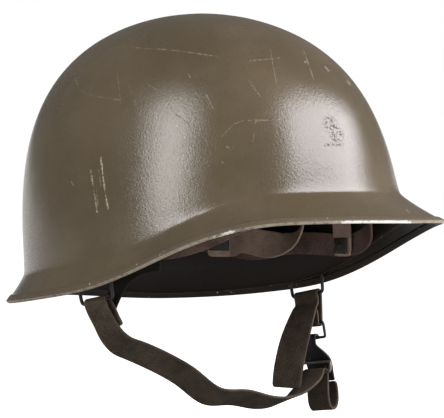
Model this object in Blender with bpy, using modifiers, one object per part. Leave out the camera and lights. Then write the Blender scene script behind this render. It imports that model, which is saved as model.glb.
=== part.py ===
"""Steel combat helmet: pressed steel shell, fibre liner, webbing suspension and chin strap.

Lengths are in metres. The wearer looks along -Y, the wearer's left is +X and up is +Z.
Heights in the functions are counted from the dome's base level, where the dome is widest.
The empty rim_level carries every piece down, so that the origin lies where the crown of
the head rests in the suspension.
"""

import math
from collections import namedtuple

import bmesh
import bpy
import numpy as np
from mathutils import Matrix, Vector

HELMET_NAME = "steel_combat_helmet"

# Fits shared by all pieces
FIT_GAP = 0.0003
COLUMNS = 48

# Steel shell
DOME_HALF_WIDTH = 0.1115
DOME_FRONT = 0.1237
DOME_REAR = 0.1214
CROWN_HEIGHT = 0.1775
CROWN_SHIFT = 0.0152
PLAN_SQUARENESS = 2.09
RIM_SWEEP = 0.0469
BRIM_FLARE = 0.0301
FLARE_DROP = 0.0178
FLARE_CURVE = 1.23
SHELL_WALL = 0.0011

# Depth of the crown of the head below the steel's outer face
SEAT_DROP = 0.0375
SEAT_HEIGHT = CROWN_HEIGHT - SEAT_DROP

# Crimped strip along the shell's edge
BAND_HEIGHT = 0.0042
BAND_WALL = 0.0006

# Fibre liner
LINER_WALL = 0.0022
LINER_SIDE_GAP = 0.0075
LINER_END_GAP = 0.0065
LINER_CROWN_GAP = 0.0045
LINER_EDGE_RISE = 0.0020
LINER_SIDE_FLARE = 0.35
LINER_BRIM_FLARE = 0.80

# Bails and the brackets that hold them
WIRE_RADIUS = 0.00125
BAIL_WIDTH = 0.0250
BAIL_TOP_WIDTH = 0.0268
BAIL_LENGTH = 0.0205
BAIL_CORNER = 0.0028
BAIL_BACK = 0.0066
BAIL_BAR_HEIGHT = -0.0023
BAIL_TILT = 10.0
BAIL_LEAN = 0.0008
HANG_TILT = 5.0
BRACKET_LENGTH = 0.0150
BRACKET_WALL = 0.0008
BRACKET_LEAF = 0.0090

# Webbing
WEB_THICKNESS = 0.0016
CHIN_WIDTH = 0.0172
SHORT_WIDTH = 0.0190
SHORT_FOLD_WIDTH = 0.0168
STRAP_SAG = 0.0680
FLAP_LENGTH = 0.0600
FLAP_LEAD = 0.0060
SHORT_DROP = 0.0182
CHIN_TAIL = 0.0160
LOOP_DROP = 0.0240
LOOP_DEPTH = 0.0095
TIE_WIDTH = 0.0095
TIE_LENGTH = 0.0480

# Link, hook and slider at the left end of the chin strap
LINK_WIRE_RADIUS = 0.0010
LINK_CORNER = 0.0015
LINK_WIDTH = 0.0208
LINK_HEIGHT = 0.0100
LINK_LEAN = 0.0015
LINK_SHIFT = 0.0005
HOOK_THICKNESS = 0.0014
HOOK_WIDTH = 0.0205
HOOK_LENGTH = 0.0285
HOOK_REACH = 0.0085
SLIDER_WIRE_RADIUS = 0.0011
SLIDER_CORNER = 0.0020
SLIDER_WIDTH = 0.0232
SLIDER_HEIGHT = 0.0070
SLIDER_DROP = 0.0160

# Suspension
BAND_WEB = 0.0014
BAND_WEB_WIDTH = 0.0145
BAND_SLACK = 0.0085
CROWN_WEB_WIDTH = 0.0180
CROWN_PAD_RADIUS = 0.0200
SLACK_PAD_RADIUS = 0.0120
CROWN_ARCH = 1.85
CROWN_FOOT_GAP = 0.0020
BAND_SEAT_GAP = 0.0008
SLACK_TURN = 100.0
WASHER_WIDTH = 0.0130
WASHER_HEIGHT = 0.0100
WASHER_THICKNESS = 0.0016
WASHER_BEVEL = 0.0004

# Rim seen in plan: turn from the front in degrees, height as a share of RIM_SWEEP and
# outward flare as a share of BRIM_FLARE
RimRow = namedtuple("RimRow", "turn rise flare")
RIM_TABLE = (
    RimRow(0, 1.000, 1.000),
    RimRow(25, 0.995, 0.935),
    RimRow(45, 0.940, 0.828),
    RimRow(60, 0.740, 0.656),
    RimRow(75, 0.427, 0.429),
    RimRow(90, 0.155, 0.316),
    RimRow(110, 0.004, 0.331),
    RimRow(140, -0.083, 0.356),
    RimRow(180, -0.011, 0.362),
)

# How far each profile of the dome is fuller than an ellipse, by powers of the height share
Fullness = namedtuple("Fullness", "linear square cube")
SIDE_FULLNESS = Fullness(-0.16, 0.24, 0.02)
FRONT_FULLNESS = Fullness(0.11, 0.32, 0.68)
REAR_FULLNESS = Fullness(0.55, 0.94, -0.30)

DOME_ROWS = 11
FLARE_STEPS = (0.10, 0.35, 0.65, 1.00)

# A pressed pot: how far it lies inside the steel's outer face, its share of the flare at the
# sides and the front, how far its edge is lifted and its wall
Pot = namedtuple("Pot", "side_inset end_inset crown_inset side_flare front_flare lift wall")
SHELL_POT = Pot(0.0, 0.0, 0.0, 1.0, 1.0, 0.0, SHELL_WALL)
LINER_POT = Pot(LINER_SIDE_GAP, LINER_END_GAP, LINER_CROWN_GAP + SHELL_WALL,
                LINER_SIDE_FLARE, LINER_BRIM_FLARE, LINER_EDGE_RISE, LINER_WALL)

# Suspension seen in plan: turn from the front in degrees and height as a share of SEAT_HEIGHT
BandRow = namedtuple("BandRow", "turn height")
BAND_TABLE = (
    BandRow(0, 0.480),
    BandRow(36, 0.400),
    BandRow(73, 0.216),
    BandRow(84, 0.226),
    BandRow(94, 0.228),
    BandRow(110, 0.196),
    BandRow(121, 0.226),
    BandRow(152, 0.245),
    BandRow(180, 0.270),
)
RIVET_TURNS = (0, 73, 121, 180, -121, -73)
SLACK_RIVET = 121
CROWN_PAIRS = ((0, 3), (5, 2), (1, 4))

# The left rear crown strap hangs slack: across, back and up as shares of DOME_HALF_WIDTH,
# DOME_REAR and SEAT_HEIGHT, with the webbing's turn about its own line in degrees
SlackRow = namedtuple("SlackRow", "across back up yaw tilt")
SLACK_TABLE = (
    SlackRow(0.692, 0.330, 0.246, 22, -80),
    SlackRow(0.668, 0.215, 0.232, -4, -74),
    SlackRow(0.655, 0.100, 0.220, -34, -58),
    SlackRow(0.640, -0.010, 0.222, -56, -38),
    SlackRow(0.615, -0.115, 0.262, -60, -26),
    SlackRow(0.575, -0.175, 0.370, -50, -20),
    SlackRow(0.500, -0.140, 0.540, -32, -15),
    SlackRow(0.395, -0.040, 0.735, -14, -10),
    SlackRow(0.275, 0.035, 0.868, -2, -5),
)

# Chin strap between the bails: across as a share of the bails' distance from the middle,
# back and down from the right bail's bar as shares of STRAP_SAG, then the turn of its width
StrapRow = namedtuple("StrapRow", "across back down yaw tilt")
CHIN_TABLE = (
    StrapRow(-1.000, -0.010, 0.085, 0, 10),
    StrapRow(-0.955, -0.025, 0.190, 0, 14),
    StrapRow(-0.905, -0.040, 0.300, 4, 22),
    StrapRow(-0.828, -0.055, 0.392, 10, 32),
    StrapRow(-0.712, -0.065, 0.448, 14, 36),
    StrapRow(-0.518, -0.080, 0.550, 15, 37),
    StrapRow(-0.271, -0.080, 0.700, 15, 36),
    StrapRow(-0.020, -0.080, 0.905, 14, 36),
    StrapRow(0.246, -0.080, 0.928, 12, 34),
    StrapRow(0.470, -0.076, 0.992, 8, 29),
    StrapRow(0.637, -0.070, 1.003, 4, 24),
    StrapRow(0.796, -0.068, 0.958, 0, 16),
    StrapRow(0.893, -0.068, 0.885, 0, 9),
    StrapRow(0.972, -0.070, 0.808, 0, 6),
)

# Tail of the chin strap inside the right bail: down as a share of CHIN_TAIL, place beside
# the strap's first span, inwards as a share of the bar's pitch, back as a share of CHIN_WIDTH
TAIL_SHARE = 0.94
TailRow = namedtuple("TailRow", "down guide inwards back")
TAIL_TABLE = (
    TailRow(1.00, 1.00, 0.98, -0.116),
    TailRow(0.66, 0.73, 0.72, -0.077),
    TailRow(0.33, 0.36, 0.76, -0.038),
)

# Flap of the short strap: inwards and back as shares of SHORT_WIDTH, down as a share of
# FLAP_LENGTH, then the turn of its width
FlapRow = namedtuple("FlapRow", "inwards back down yaw tilt")
FLAP_TABLE = (
    FlapRow(1.010, 0.060, 1.000, 34, 2),
    FlapRow(0.970, 0.040, 0.830, 34, 2),
    FlapRow(0.800, 0.000, 0.610, 30, 2),
    FlapRow(0.620, -0.050, 0.430, 20, 3),
    FlapRow(0.370, -0.070, 0.270, 10, 6),
    FlapRow(0.140, -0.065, 0.150, 3, 9),
)

# Tie strap from the right bail to the liner: back and up as shares of TIE_LENGTH, inwards
# from the bail's bar as a share of TIE_WIDTH, then the turn of its width
TieRow = namedtuple("TieRow", "back up inwards yaw tilt")
TIE_TABLE = (
    TieRow(0.060, -0.190, 1.07, 0, -14),
    TieRow(-0.035, -0.080, 0.94, 0, -30),
    TieRow(-0.160, 0.105, 0.80, 0, -46),
    TieRow(-0.290, 0.280, 0.78, 0, -50),
    TieRow(-0.465, 0.400, 0.74, 4, -62),
    TieRow(-0.660, 0.470, 0.74, 6, -68),
    TieRow(-0.860, 0.480, 0.74, 8, -72),
)

# Hook: distance along it as a share of HOOK_LENGTH, outwards as a share of HOOK_REACH and
# width as a share of HOOK_WIDTH
HookRow = namedtuple("HookRow", "down outwards width")
HOOK_TABLE = (
    HookRow(0.16, 0.03, 0.36),
    HookRow(0.30, 0.18, 0.72),
    HookRow(0.44, 0.40, 1.00),
    HookRow(0.60, 0.70, 1.00),
    HookRow(0.80, 0.82, 0.96),
    HookRow(1.00, 1.00, 0.90),
)

# Hanging loop of the strap's free end: out as a share of LOOP_DEPTH and down as a share of
# LOOP_DROP, from the slider's lower bar
LoopRow = namedtuple("LoopRow", "out down")
LOOP_TABLE = (
    LoopRow(-0.06, 0.30),
    LoopRow(-0.12, 0.66),
    LoopRow(-0.02, 0.88),
    LoopRow(0.26, 1.00),
    LoopRow(0.66, 0.97),
    LoopRow(0.93, 0.80),
    LoopRow(0.98, 0.52),
    LoopRow(0.88, 0.25),
)

Paint = namedtuple("Paint", "colour roughness metallic")
STEEL_PAINT = Paint((0.155, 0.135, 0.088), 0.42, 0.0)
BARE_EDGE = Paint((0.300, 0.275, 0.220), 0.38, 0.6)
LINER_PAINT = Paint((0.030, 0.026, 0.022), 0.55, 0.0)
BLACK_METAL = Paint((0.020, 0.019, 0.018), 0.35, 0.6)
STRAP_WEB = Paint((0.060, 0.048, 0.034), 0.85, 0.0)
BAND_WEB_PAINT = Paint((0.300, 0.215, 0.165), 0.85, 0.0)
WORN_METAL = Paint((0.420, 0.400, 0.360), 0.35, 0.8)


def clear_scene():
    """Remove every object, so that the script can be run again."""
    for old in list(bpy.data.objects):
        bpy.data.objects.remove(old, do_unlink=True)


def material(name, paint):
    """A Principled material in one colour."""
    made = bpy.data.materials.new(name)
    made.use_nodes = True
    shader = made.node_tree.nodes["Principled BSDF"]
    shader.inputs["Base Color"].default_value = (*paint.colour, 1.0)
    shader.inputs["Roughness"].default_value = paint.roughness
    shader.inputs["Metallic"].default_value = paint.metallic
    return made


def read_table(rows, field, turn):
    """Value of one column at a turn from the front, smooth and level at front and rear."""
    turns = np.array([row.turn for row in rows], float)
    values = np.array([getattr(row, field) for row in rows], float)
    steps = np.diff(values) / np.diff(turns)
    spans = np.diff(turns)
    slopes = np.zeros(len(rows))
    slopes[1:-1] = (steps[:-1] * spans[1:] + steps[1:] * spans[:-1]) / (spans[1:] + spans[:-1])
    place = abs((turn + 180.0) % 360.0 - 180.0)
    i = min(int(np.searchsorted(turns, place, side="right")) - 1, len(rows) - 2)
    share = (place - turns[i]) / spans[i]
    rest = 1.0 - share
    start = values[i] * (1 + 2 * share) * rest ** 2 + slopes[i] * spans[i] * share * rest ** 2
    end = values[i + 1] * (1 + 2 * rest) * share ** 2 - slopes[i + 1] * spans[i] * rest * share ** 2
    return float(start + end)


def profile(reach, fullness, share):
    """Distance of the dome from its axis at a share of its height."""
    fuller = 1 + fullness.linear * share + fullness.square * share ** 2 + fullness.cube * share ** 3
    return reach * math.sqrt(max((1 - share ** 2) * fuller, 0.0))


def bent_cosine(value):
    """Cosine or sine of the plan, squared off a little from an ellipse."""
    return math.copysign(abs(value) ** (2.0 / PLAN_SQUARENESS), value)


def dome_point(pot, turn, height):
    """Point on a pot's outer face above its flare."""
    share = min(max(height, 0.0) / (CROWN_HEIGHT - pot.crown_inset), 1.0)
    forward = bent_cosine(math.cos(math.radians(turn)))
    sideways = bent_cosine(math.sin(math.radians(turn)))
    side = profile(DOME_HALF_WIDTH - pot.side_inset, SIDE_FULLNESS, share)
    if forward > 0:
        end = profile(DOME_FRONT - pot.end_inset, FRONT_FULLNESS, share)
    else:
        end = profile(DOME_REAR - pot.end_inset, REAR_FULLNESS, share)
    return Vector((side * sideways, CROWN_SHIFT * share ** 2 - end * forward, height))


def outward(turn):
    """Level direction in which the flare leaves the dome."""
    mean_length = (DOME_FRONT + DOME_REAR) / 2
    sideways = math.sin(math.radians(turn)) / DOME_HALF_WIDTH
    return Vector((sideways, -math.cos(math.radians(turn)) / mean_length, 0)).normalized()


def rim_height(pot, turn):
    """Height of a pot's edge."""
    return RIM_SWEEP * read_table(RIM_TABLE, "rise", turn) + pot.lift


def flare_width(pot, turn):
    """How far a pot's edge stands out from its dome."""
    fore = max(math.cos(math.radians(turn)), 0.0) ** 1.5
    share = pot.side_flare + (pot.front_flare - pot.side_flare) * fore
    return BRIM_FLARE * read_table(RIM_TABLE, "flare", turn) * share


def pot_point(pot, turn, height):
    """Point on a pot's outer face at any height."""
    crease = rim_height(pot, turn) + FLARE_DROP
    if height >= crease:
        return dome_point(pot, turn, height)
    share = (crease - height) / FLARE_DROP
    base = dome_point(pot, turn, crease)
    spread = flare_width(pot, turn) * share ** FLARE_CURVE
    return Vector((base.x, base.y, height)) + outward(turn) * spread


def pot_column(pot, turn):
    """Points of one column of a pot, from under the crown to the edge."""
    crease = rim_height(pot, turn) + FLARE_DROP
    crown = CROWN_HEIGHT - pot.crown_inset
    heights = []
    for row in range(1, DOME_ROWS + 1):
        rise = math.cos(math.pi / 2 * row / DOME_ROWS)
        heights.append(crease + (crown - crease) * rise)
    heights += [crease - FLARE_DROP * step for step in FLARE_STEPS]
    return [pot_point(pot, turn, height) for height in heights]


def turns_round():
    """Turn of each column, in degrees from the front."""
    return [360.0 * column / COLUMNS for column in range(COLUMNS)]


def finish(name, mesh, paint, parent, collection):
    """Make an object of a mesh, with its own material, under the rim level."""
    made = bpy.data.objects.new(name, mesh)
    made.data.materials.append(material(name, paint))
    made.parent = parent
    collection.objects.link(made)
    return made


def mesh_from(name, build):
    """Run a bmesh function and keep its result as a mesh."""
    shape = bmesh.new()
    build(shape)
    mesh = bpy.data.meshes.new(name)
    shape.to_mesh(mesh)
    shape.free()
    return mesh


def add_wall(target, thickness, offset):
    """Give an open surface its wall."""
    wall = target.modifiers.new("wall", "SOLIDIFY")
    wall.thickness = thickness
    wall.offset = offset
    wall.use_even_offset = True


def make_pot(name, pot, paint, parent, collection):
    """A domed pot with a flared edge, as an open surface with a wall inside it."""
    def build(shape):
        crown_height = CROWN_HEIGHT - pot.crown_inset
        crown = shape.verts.new((0, CROWN_SHIFT, crown_height))
        columns = [[shape.verts.new(p) for p in pot_column(pot, turn)] for turn in turns_round()]
        for here, there in zip(columns, columns[1:] + columns[:1]):
            shape.faces.new((crown, here[0], there[0]))
            for row in range(len(here) - 1):
                shape.faces.new((here[row], here[row + 1], there[row + 1], there[row]))
    made = finish(name, mesh_from(name, build), paint, parent, collection)
    made.data.shade_smooth()
    add_wall(made, pot.wall, -1.0)
    return made


def edge_frames():
    """Edge of the steel at each column: point, direction down the wall and outward normal."""
    edges = [pot_point(SHELL_POT, turn, rim_height(SHELL_POT, turn)) for turn in turns_round()]
    frames = []
    for column, turn in enumerate(turns_round()):
        edge = edges[column]
        above = pot_point(SHELL_POT, turn, edge.z + FLARE_DROP * (1 - FLARE_STEPS[-2]))
        along = edges[(column + 1) % COLUMNS] - edges[column - 1]
        down = (edge - above).normalized()
        normal = down.cross(along).normalized()
        frames.append((edge, down, normal))
    return frames


def make_rim_band(parent, collection):
    """Thin strip folded round the shell's edge, a U in section."""
    face = FIT_GAP + BAND_WALL
    back = -SHELL_WALL - FIT_GAP
    soft = BAND_WALL * 0.6
    section = (
        (-BAND_HEIGHT, face), (face - soft, face), (face, face - soft),
        (face, back - BAND_WALL + soft), (face - soft, back - BAND_WALL),
        (-BAND_HEIGHT, back - BAND_WALL), (-BAND_HEIGHT, back), (FIT_GAP, back),
        (FIT_GAP, FIT_GAP), (-BAND_HEIGHT, FIT_GAP),
    )

    def build(shape):
        rings = []
        for edge, down, normal in edge_frames():
            rings.append([shape.verts.new(edge + down * d + normal * n) for d, n in section])
        for here, there in zip(rings, rings[1:] + rings[:1]):
            for i in range(len(section)):
                j = (i + 1) % len(section)
                shape.faces.new((here[i], here[j], there[j], there[i]))
        bmesh.ops.recalc_face_normals(shape, faces=shape.faces)
    return finish("rim_band", mesh_from("rim_band", build), BARE_EDGE, parent, collection)


Station = namedtuple("Station", "point across width")


def across_at(yaw, tilt):
    """Direction of a strap's width: forward, swung to the left by yaw and raised by tilt."""
    swing = math.radians(yaw)
    lift = math.radians(tilt)
    level = math.cos(lift)
    return Vector((math.sin(swing) * level, -math.cos(swing) * level, math.sin(lift)))


def smooth_stations(stations, steps, closed=False):
    """Run a smooth curve through stations, with the same number of steps in each span."""
    data = [(*s.point, *s.across, s.width) for s in stations]
    data = np.array(data, float)
    count = len(data)
    result = []
    spans = count if closed else count - 1
    for i in range(spans):
        before = data[(i - 1) % count] if closed or i > 0 else 2 * data[i] - data[i + 1]
        start = data[i]
        end = data[(i + 1) % count]
        after = data[(i + 2) % count] if closed or i < count - 2 else 2 * end - start
        gaps = [max(np.linalg.norm(b[:3] - a[:3]), 1e-6) ** 0.5
                for a, b in ((before, start), (start, end), (end, after))]
        enter = (start - before) / gaps[0] - (end - before) / (gaps[0] + gaps[1])
        enter = (enter + (end - start) / gaps[1]) * gaps[1]
        leave = (end - start) / gaps[1] - (after - start) / (gaps[1] + gaps[2])
        leave = (leave + (after - end) / gaps[2]) * gaps[1]
        for step in range(steps):
            t = step / steps
            row = ((2 * t ** 3 - 3 * t ** 2 + 1) * start + (t ** 3 - 2 * t ** 2 + t) * enter
                   + (3 * t ** 2 - 2 * t ** 3) * end + (t ** 3 - t ** 2) * leave)
            result.append(row)
    if not closed:
        result.append(data[-1])
    return [Station(Vector(r[:3]), Vector(r[3:6]), float(r[6])) for r in result]


def make_ribbon(name, stations, thickness, paint, parent, collection, closed=False):
    """A flat strip through stations, as an open surface with a wall about its middle."""
    def build(shape):
        rows = []
        count = len(stations)
        for i, station in enumerate(stations):
            if closed:
                along = stations[(i + 1) % count].point - stations[i - 1].point
            else:
                along = stations[min(i + 1, count - 1)].point - stations[max(i - 1, 0)].point
            along.normalize()
            across = station.across - along * station.across.dot(along)
            across.normalize()
            half = across * station.width / 2
            rows.append((shape.verts.new(station.point - half), shape.verts.new(station.point + half)))
        pairs = list(zip(rows, rows[1:]))
        if closed:
            pairs.append((rows[-1], rows[0]))
        for (low, high), (next_low, next_high) in pairs:
            shape.faces.new((low, high, next_high, next_low))
    made = finish(name, mesh_from(name, build), paint, parent, collection)
    add_wall(made, thickness, 0.0)
    return made


def wrap(centre, start, sweep, radius, outwards, upwards, across, width, steps):
    """Stations on an arc about a bar, start and sweep in degrees from outwards to upwards."""
    made = []
    for step in range(steps + 1):
        angle = math.radians(start + sweep * step / steps)
        point = centre + outwards * radius * math.cos(angle) + upwards * radius * math.sin(angle)
        made.append(Station(point, across, width))
    return made


def bail_top_height():
    """Height of a bail's upper bar."""
    return BAIL_BAR_HEIGHT + BAIL_LENGTH * math.cos(math.radians(BAIL_TILT))


def turn_of(pot, back, height):
    """Turn at which a pot's left side is a given distance back, found by halving."""
    low, high = 30.0, 150.0
    while high - low > 1e-4:
        middle = (low + high) / 2
        if pot_point(pot, middle, height).y < back:
            low = middle
        else:
            high = middle
    return (low + high) / 2


def bracket_radius():
    """Outer radius of the roll that holds a bail's upper bar."""
    return WIRE_RADIUS + FIT_GAP + BRACKET_WALL


def bail_frame(side):
    """Middle of a bail's lower bar with its directions outwards, upwards and forward."""
    tilt = math.radians(BAIL_TILT)
    upwards = Vector((0, math.sin(tilt), math.cos(tilt)))
    forward = Vector((0, -math.cos(tilt), math.sin(tilt)))
    top = bail_top_height()
    back = BAIL_BACK + BAIL_LENGTH * upwards.y
    turn = turn_of(SHELL_POT, back, top)
    wall = pot_point(SHELL_POT, turn, top)
    lower = pot_point(SHELL_POT, turn, top - bracket_radius())
    slope = math.atan2(lower.x - wall.x, bracket_radius())
    reach = wall.x - (SHELL_WALL + 2 * FIT_GAP + bracket_radius()) / math.cos(slope)
    bar = Vector((side * (reach - BAIL_LEAN), BAIL_BACK, BAIL_BAR_HEIGHT))
    return bar, Vector((side, 0, 0)), upwards, forward


def closed_wire(name, points, radius, paint, parent, collection):
    """A closed loop of round wire through points."""
    curve = bpy.data.curves.new(name, "CURVE")
    curve.dimensions = "3D"
    curve.bevel_depth = radius
    curve.bevel_resolution = 2
    spline = curve.splines.new("POLY")
    spline.points.add(len(points) - 1)
    for place, point in zip(spline.points, points):
        place.co = (*point, 1.0)
    spline.use_cyclic_u = True
    return finish(name, curve, paint, parent, collection)


def rounded_frame(lower_middle, upper_middle, lower_width, upper_width, corner, forward):
    """Points of a frame of two bars and two legs, with rounded corners."""
    half_low = forward * lower_width / 2
    half_high = forward * upper_width / 2
    corners = (lower_middle - half_low, lower_middle + half_low,
               upper_middle + half_high, upper_middle - half_high)
    points = []
    for i, place in enumerate(corners):
        to_last = (corners[i - 1] - place).normalized()
        to_next = (corners[(i + 1) % 4] - place).normalized()
        start = place + to_last * corner
        end = place + to_next * corner
        for step in range(4):
            t = step / 3
            points.append(start * (1 - t) ** 2 + place * 2 * t * (1 - t) + end * t ** 2)
    return points


def make_bail(name, side, parent, collection):
    """Wire bail that hangs from its bracket inside the shell."""
    bar, outwards, upwards, forward = bail_frame(side)
    top = bar + upwards * BAIL_LENGTH + outwards * BAIL_LEAN
    points = rounded_frame(bar, top, BAIL_WIDTH, BAIL_TOP_WIDTH, BAIL_CORNER, forward)
    return closed_wire(name, points, WIRE_RADIUS, BLACK_METAL, parent, collection)


def make_bracket(name, side, parent, collection):
    """Bracket inside the shell: a leaf with its end rolled round the bail's upper bar."""
    bar, outwards, upwards, forward = bail_frame(side)
    centre = bar + upwards * BAIL_LENGTH + outwards * BAIL_LEAN
    outer = bracket_radius()
    curve = bpy.data.curves.new(name, "CURVE")
    curve.dimensions = "2D"
    curve.fill_mode = "BOTH"
    curve.extrude = BRACKET_LENGTH / 2
    sides = 16
    leaf_low = math.sqrt(outer ** 2 - (outer - BRACKET_WALL) ** 2)
    start = math.degrees(math.atan2(leaf_low, outer - BRACKET_WALL))
    roll = [start + (360.0 - start) * i / sides for i in range(sides + 1)]
    outline = [(outer * math.cos(math.radians(a)), outer * math.sin(math.radians(a))) for a in roll]
    lean = leaf_lean(centre)
    outline += [(outer + lean, BRACKET_LEAF), (outer + lean - BRACKET_WALL, BRACKET_LEAF)]
    inner = WIRE_RADIUS + FIT_GAP
    hole = [(inner * math.cos(2 * math.pi * i / sides), inner * math.sin(2 * math.pi * i / sides))
            for i in range(sides)]
    for loop in (outline, hole):
        spline = curve.splines.new("POLY")
        spline.points.add(len(loop) - 1)
        for place, (x, y) in zip(spline.points, loop):
            place.co = (x, y, 0, 1)
        spline.use_cyclic_u = True
    made = finish(name, curve, BLACK_METAL, parent, collection)
    turned = Matrix((outwards, upwards, outwards.cross(upwards))).transposed().to_4x4()
    made.matrix_local = Matrix.Translation(centre) @ turned
    return made


def leaf_lean(centre):
    """How far the bracket's leaf leans inwards at its top to stay clear of the shell."""
    turn = turn_of(SHELL_POT, centre.y, centre.z)
    face = abs(centre.x) + bracket_radius()
    clear = SHELL_WALL + 3 * FIT_GAP
    steps = 6
    slopes = []
    for step in range(1, steps + 1):
        rise = BRACKET_LEAF * step / steps
        wall = pot_point(SHELL_POT, turn, centre.z + rise).x - clear
        slopes.append((wall - face) / rise)
    return min(slopes + [0.0]) * BRACKET_LEAF


def layer(radius):
    """Distance of a strap's middle from the middle of the bar that it goes round."""
    return radius + FIT_GAP + WEB_THICKNESS / 2


def hang_frame():
    """Directions outwards, upwards and forward of the parts that hang from the left bail."""
    tilt = math.radians(HANG_TILT)
    upwards = Vector((0, math.sin(tilt), math.cos(tilt)))
    forward = Vector((0, -math.cos(tilt), math.sin(tilt)))
    return Vector((1, 0, 0)), upwards, forward


def link_place():
    """Middles of the wire link's upper and lower bars."""
    bar, _, _, _ = bail_frame(1)
    outwards, upwards, _ = hang_frame()
    top = bar + outwards * LINK_SHIFT - upwards * SHORT_DROP
    return top, top + outwards * LINK_LEAN - upwards * LINK_HEIGHT


def hook_reach(drop):
    """How far the hook's plate stands out from the link's lower bar at a drop below it."""
    drops = [row.down * HOOK_LENGTH for row in HOOK_TABLE]
    reaches = [row.outwards * (HOOK_REACH + hook_radius()) for row in HOOK_TABLE]
    return float(np.interp(drop, drops, reaches)) - hook_radius()


def hook_radius():
    """Radius of the middle of the hook's curl."""
    return LINK_WIRE_RADIUS + FIT_GAP + HOOK_THICKNESS / 2


def slider_place():
    """Middles of the slider's upper and lower bars, just inside the hook's plate."""
    _, low = link_place()
    outwards, upwards, _ = hang_frame()
    clear = SLIDER_WIRE_RADIUS + 2 * FIT_GAP + HOOK_THICKNESS / 2
    top = low + outwards * (hook_reach(SLIDER_DROP) - clear) - upwards * SLIDER_DROP
    return top, top - outwards * LINK_LEAN - upwards * SLIDER_HEIGHT


def chin_row_station(row):
    """Place of one row of the chin strap's table."""
    bar, _, _, _ = bail_frame(-1)
    point = Vector((row.across * abs(bar.x), bar.y + row.back * STRAP_SAG, bar.z - row.down * STRAP_SAG))
    return Station(point, across_at(row.yaw, row.tilt), CHIN_WIDTH)


def make_chin_strap(parent, collection):
    """Long chin strap: from its short tail round the right bail, down, up to the slider
    and round its lower bar, to the free end that hangs in a loop."""
    bar, outwards, upwards, forward = bail_frame(-1)
    radius = layer(WIRE_RADIUS)
    hang = [chin_row_station(row) for row in CHIN_TABLE]
    pitch = 2 * radius + FIT_GAP
    tail = []
    for row in TAIL_TABLE:
        guide = hang[0].point.lerp(hang[1].point, row.guide)
        drop = upwards * CHIN_TAIL * row.down
        point = Vector((guide.x + pitch * row.inwards, bar.y - drop.y + row.back * CHIN_WIDTH,
                        bar.z - drop.z))
        tail.append(Station(point, forward, CHIN_WIDTH * TAIL_SHARE))
    around = wrap(bar, 160.0, -175.0, radius, outwards, upwards, forward, CHIN_WIDTH, 8)
    _, lower = slider_place()
    out, top_up, level = hang_frame()
    over = wrap(lower, 140.0, -140.0, layer(SLIDER_WIRE_RADIUS), out, top_up, level, CHIN_WIDTH, 6)
    end = over[-1].point
    loop = []
    for row in LOOP_TABLE:
        point = end + out * row.out * LOOP_DEPTH - top_up * row.down * LOOP_DROP
        loop.append(Station(point, level, CHIN_WIDTH))
    stations = (smooth_stations(tail + around[:1], 2)[:-1] + around[:-1]
                + smooth_stations([around[-1]] + hang + [over[0]], 3)[:-1]
                + over[:-1] + smooth_stations([over[-1]] + loop, 3))
    return make_ribbon("chin_strap", stations, WEB_THICKNESS, STRAP_WEB, parent, collection)


def make_short_strap(parent, collection):
    """Short strap on the left bail: a long flap inside, a short fold outside that holds
    the wire link."""
    bar, outwards, upwards, forward = bail_frame(1)
    radius = layer(WIRE_RADIUS)
    flap = []
    for row in FLAP_TABLE:
        inwards = radius + row.inwards * SHORT_WIDTH
        point = bar - outwards * inwards + Vector((0, row.back * SHORT_WIDTH, -row.down * FLAP_LENGTH))
        flap.append(Station(point, across_at(row.yaw, row.tilt), SHORT_WIDTH))
    around = wrap(bar, 180.0, -180.0, radius, outwards, upwards, forward, SHORT_WIDTH, 8)
    top, _ = link_place()
    _, up, level = hang_frame()
    under = wrap(top, 0.0, -180.0, layer(LINK_WIRE_RADIUS), outwards, up, level, SHORT_FOLD_WIDTH, 8)
    between = Station((around[-1].point + under[0].point) / 2,
                      forward, (SHORT_WIDTH + SHORT_FOLD_WIDTH) / 2)
    rise = SHORT_DROP * 0.5
    end = [Station(under[-1].point + up * rise * share + outwards * FIT_GAP * share, level,
                   SHORT_FOLD_WIDTH)
           for share in (0.5, 1.0)]
    lead = around[0]._replace(point=around[0].point - upwards * FLAP_LEAD)
    stations = (smooth_stations(flap + [lead] + around[:1], 3)[:-1] + around[:-1]
                + smooth_stations([around[-1], between, under[0]], 2)[:-1] + under + end)
    return make_ribbon("short_strap", stations, WEB_THICKNESS, STRAP_WEB, parent, collection)


def make_link(parent, collection):
    """Wire link between the short strap and the hook."""
    top, low = link_place()
    points = rounded_frame(low, top, LINK_WIDTH, LINK_WIDTH, LINK_CORNER, hang_frame()[2])
    return closed_wire("wire_link", points, LINK_WIRE_RADIUS, BLACK_METAL, parent, collection)


def make_slider(parent, collection):
    """Two-bar slider that the chin strap goes round."""
    top, low = slider_place()
    points = rounded_frame(low, top, SLIDER_WIDTH, SLIDER_WIDTH, SLIDER_CORNER, hang_frame()[2])
    return closed_wire("slider", points, SLIDER_WIRE_RADIUS, WORN_METAL, parent, collection)


def make_hook(parent, collection):
    """Release hook: a plate whose narrow end curls over the link's lower bar."""
    _, low = link_place()
    out, up, level = hang_frame()
    radius = hook_radius()
    curl = wrap(low, -30.0, 210.0, radius, out, up, level, HOOK_WIDTH * HOOK_TABLE[0].width, 8)
    start = curl[-1].point
    plate = []
    for row in HOOK_TABLE:
        point = start + out * row.outwards * (HOOK_REACH + radius) - up * row.down * HOOK_LENGTH
        plate.append(Station(point, level, HOOK_WIDTH * row.width))
    stations = curl[:-1] + smooth_stations([curl[-1]] + plate, 2)
    return make_ribbon("release_hook", stations, HOOK_THICKNESS, BLACK_METAL, parent, collection)


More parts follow.
